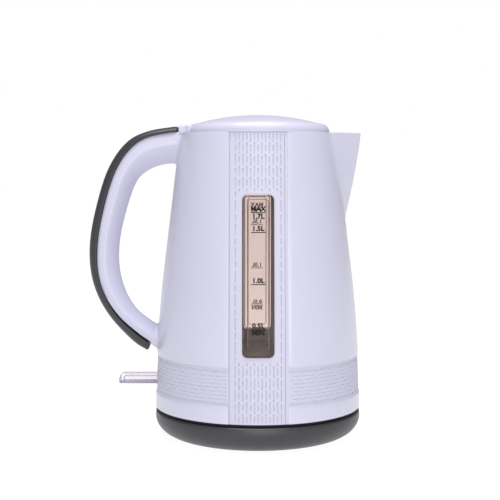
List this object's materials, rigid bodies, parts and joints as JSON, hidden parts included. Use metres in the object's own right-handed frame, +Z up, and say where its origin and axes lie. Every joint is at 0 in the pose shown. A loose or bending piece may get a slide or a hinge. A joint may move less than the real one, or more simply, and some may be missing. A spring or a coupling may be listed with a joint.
{
  "type": "electric kettle",
  "caption": "Cordless jug kettle on a round power base, with side water gauges, hinged lid, V spout and loop handle.",
  "frame": {"origin": "on the kettle's vertical axis, at the height of the table it stands on; the base plate's underside centre is 1.2 mm above it", "axes": "+Z up, +X towards the spout, -X towards the handle"},
  "size_m": [0.2111, 0.1578, 0.2468],
  "materials": {
    "white_plastic": "satin lavender-white moulding",
    "grey_plastic": "fine-grained dark grey moulding",
    "black_plastic": "plain black moulding",
    "tinted_clear": "clear pinkish-brown moulding",
    "clear_plastic": "clear polished moulding",
    "steel": "stainless",
    "aluminium": "plain",
    "brass": "plain",
    "silicone": "soft translucent grey",
    "rubber": "matt black",
    "lamp_glass": "small neon lamp"
  },
  "bodies": {
    "power_base": {"base_cover": "grey_plastic", "base_bottom": "grey_plastic", "base_socket": "black_plastic", "socket_centre_contact": "brass", "socket_ring_contact": "brass", "base_screw_1": "steel", "base_screw_2": "steel", "base_screw_3": "steel", "base_foot_1": "rubber", "base_foot_2": "rubber", "base_foot_3": "rubber", "cord_gland": "rubber"},
    "coupler": {"coupler_plug": "black_plastic", "coupler_pin": "brass", "coupler_ring": "brass"},
    "kettle": {"body_shell": "white_plastic", "collar": "white_plastic", "filter_frame": "white_plastic", "steam_tube": "white_plastic", "grip": "grey_plastic", "bottom_cover": "grey_plastic", "control_housing": "black_plastic", "gauge_window_near": "tinted_clear", "gauge_window_far": "tinted_clear", "grip_screw_upper": "steel", "grip_screw_lower": "steel", "hinge_pin": "steel", "lid_spring": "steel", "button_spring": "steel", "heating_plate": "steel", "plate_clamp_ring": "steel", "heating_element": "steel", "lever_pin": "steel", "filter_mesh": "steel", "bottom_screw_1": "steel", "bottom_screw_2": "steel", "bottom_screw_3": "steel", "heat_spreader": "aluminium", "element_lead_near": "brass", "element_lead_far": "brass", "bimetal_disc_near": "brass", "bimetal_disc_far": "brass", "steam_disc": "brass", "gauge_seal_near": "silicone", "gauge_seal_far": "silicone", "plate_seal": "silicone", "steam_grommet": "silicone", "indicator_lamp": "lamp_glass"},
    "lid": {"lid_cap": "white_plastic", "lid_liner": "white_plastic", "lid_seal": "silicone", "lid_screw_near": "steel", "lid_screw_far": "steel"},
    "lid_button": {"lid_button": "white_plastic"},
    "switch_lever": {"switch_lever": "clear_plastic"}
  },
  "joints": [
    {"name": "kettle_lift", "type": "slide", "parent": "power_base", "child": "coupler", "axis": [0, 0, 1], "range_m": [0, 0.06]},
    {"name": "kettle_turn", "type": "hinge", "parent": "coupler", "child": "kettle", "pos_m": [0, 0, 0.0228], "axis": [0, 0, 1], "continuous": true},
    {"name": "lid_hinge", "type": "hinge", "parent": "kettle", "child": "lid", "pos_m": [-0.047, 0, 0.2362], "axis": [0, -1, 0], "range_deg": [0, 78]},
    {"name": "button_press", "type": "slide", "parent": "kettle", "child": "lid_button", "axis": [0, 0, -1], "range_m": [0, 0.002], "stiffness_N_per_m": 600, "springref_m": -0.0005, "deforming": ["button_spring"]},
    {"name": "lever_switch", "type": "hinge", "parent": "kettle", "child": "switch_lever", "pos_m": [-0.066, 0, 0.0426], "axis": [0, -1, 0], "range_deg": [0, 11]}
  ]
}
